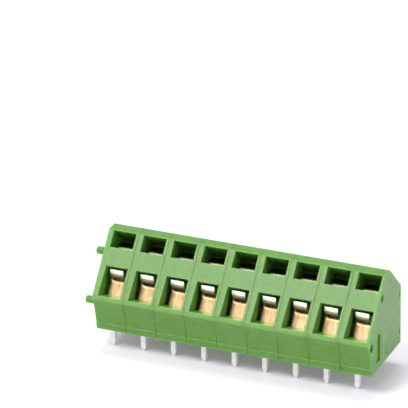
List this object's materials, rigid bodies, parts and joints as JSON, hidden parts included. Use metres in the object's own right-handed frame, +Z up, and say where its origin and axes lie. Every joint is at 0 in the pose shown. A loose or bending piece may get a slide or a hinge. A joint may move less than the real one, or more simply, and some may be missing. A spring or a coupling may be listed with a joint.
{
  "type": "pcb terminal block",
  "caption": "Green spring-cage terminal block for a circuit board, a row of single-pole housings with sloped wire and screwdriver openings and square solder pins.",
  "frame": {"origin": "the middle pole's solder pin, where it meets the board face", "axes": "+X along the row towards the socket end, +Y to the back, +Z up from the board"},
  "size_m": [0.0466, 0.0138, 0.0179],
  "materials": {
    "green_plastic": "moulded polyamide, fine matt grain",
    "spring_steel": "rolled stainless strip with straw-brown heat tint",
    "tinned_copper": "tin-plated copper alloy"
  },
  "bodies": {
    "root": {"housing_1": "green_plastic", "housing_2": "green_plastic", "housing_3": "green_plastic", "housing_4": "green_plastic", "housing_5": "green_plastic", "housing_6": "green_plastic", "housing_7": "green_plastic", "housing_8": "green_plastic", "housing_9": "green_plastic", "contact_1": "tinned_copper", "contact_2": "tinned_copper", "contact_3": "tinned_copper", "contact_4": "tinned_copper", "contact_5": "tinned_copper", "contact_6": "tinned_copper", "contact_7": "tinned_copper", "contact_8": "tinned_copper", "contact_9": "tinned_copper"},
    "spring_1": {"cage_spring_1": "spring_steel"},
    "spring_2": {"cage_spring_2": "spring_steel"},
    "spring_3": {"cage_spring_3": "spring_steel"},
    "spring_4": {"cage_spring_4": "spring_steel"},
    "spring_5": {"cage_spring_5": "spring_steel"},
    "spring_6": {"cage_spring_6": "spring_steel"},
    "spring_7": {"cage_spring_7": "spring_steel"},
    "spring_8": {"cage_spring_8": "spring_steel"},
    "spring_9": {"cage_spring_9": "spring_steel"}
  },
  "joints": [
    {"name": "clamp_1", "type": "slide", "parent": "root", "child": "spring_1", "axis": [0, -0.5736, -0.8192], "range_m": [0, 0.0016], "stiffness_N_per_m": 9000, "springref_m": -0.0005, "deforming": ["cage_spring_1"]},
    {"name": "clamp_2", "type": "slide", "parent": "root", "child": "spring_2", "axis": [0, -0.5736, -0.8192], "range_m": [0, 0.0016], "stiffness_N_per_m": 9000, "springref_m": -0.0005, "deforming": ["cage_spring_2"]},
    {"name": "clamp_3", "type": "slide", "parent": "root", "child": "spring_3", "axis": [0, -0.5736, -0.8192], "range_m": [0, 0.0016], "stiffness_N_per_m": 9000, "springref_m": -0.0005, "deforming": ["cage_spring_3"]},
    {"name": "clamp_4", "type": "slide", "parent": "root", "child": "spring_4", "axis": [0, -0.5736, -0.8192], "range_m": [0, 0.0016], "stiffness_N_per_m": 9000, "springref_m": -0.0005, "deforming": ["cage_spring_4"]},
    {"name": "clamp_5", "type": "slide", "parent": "root", "child": "spring_5", "axis": [0, -0.5736, -0.8192], "range_m": [0, 0.0016], "stiffness_N_per_m": 9000, "springref_m": -0.0005, "deforming": ["cage_spring_5"]},
    {"name": "clamp_6", "type": "slide", "parent": "root", "child": "spring_6", "axis": [0, -0.5736, -0.8192], "range_m": [0, 0.0016], "stiffness_N_per_m": 9000, "springref_m": -0.0005, "deforming": ["cage_spring_6"]},
    {"name": "clamp_7", "type": "slide", "parent": "root", "child": "spring_7", "axis": [0, -0.5736, -0.8192], "range_m": [0, 0.0016], "stiffness_N_per_m": 9000, "springref_m": -0.0005, "deforming": ["cage_spring_7"]},
    {"name": "clamp_8", "type": "slide", "parent": "root", "child": "spring_8", "axis": [0, -0.5736, -0.8192], "range_m": [0, 0.0016], "stiffness_N_per_m": 9000, "springref_m": -0.0005, "deforming": ["cage_spring_8"]},
    {"name": "clamp_9", "type": "slide", "parent": "root", "child": "spring_9", "axis": [0, -0.5736, -0.8192], "range_m": [0, 0.0016], "stiffness_N_per_m": 9000, "springref_m": -0.0005, "deforming": ["cage_spring_9"]}
  ]
}
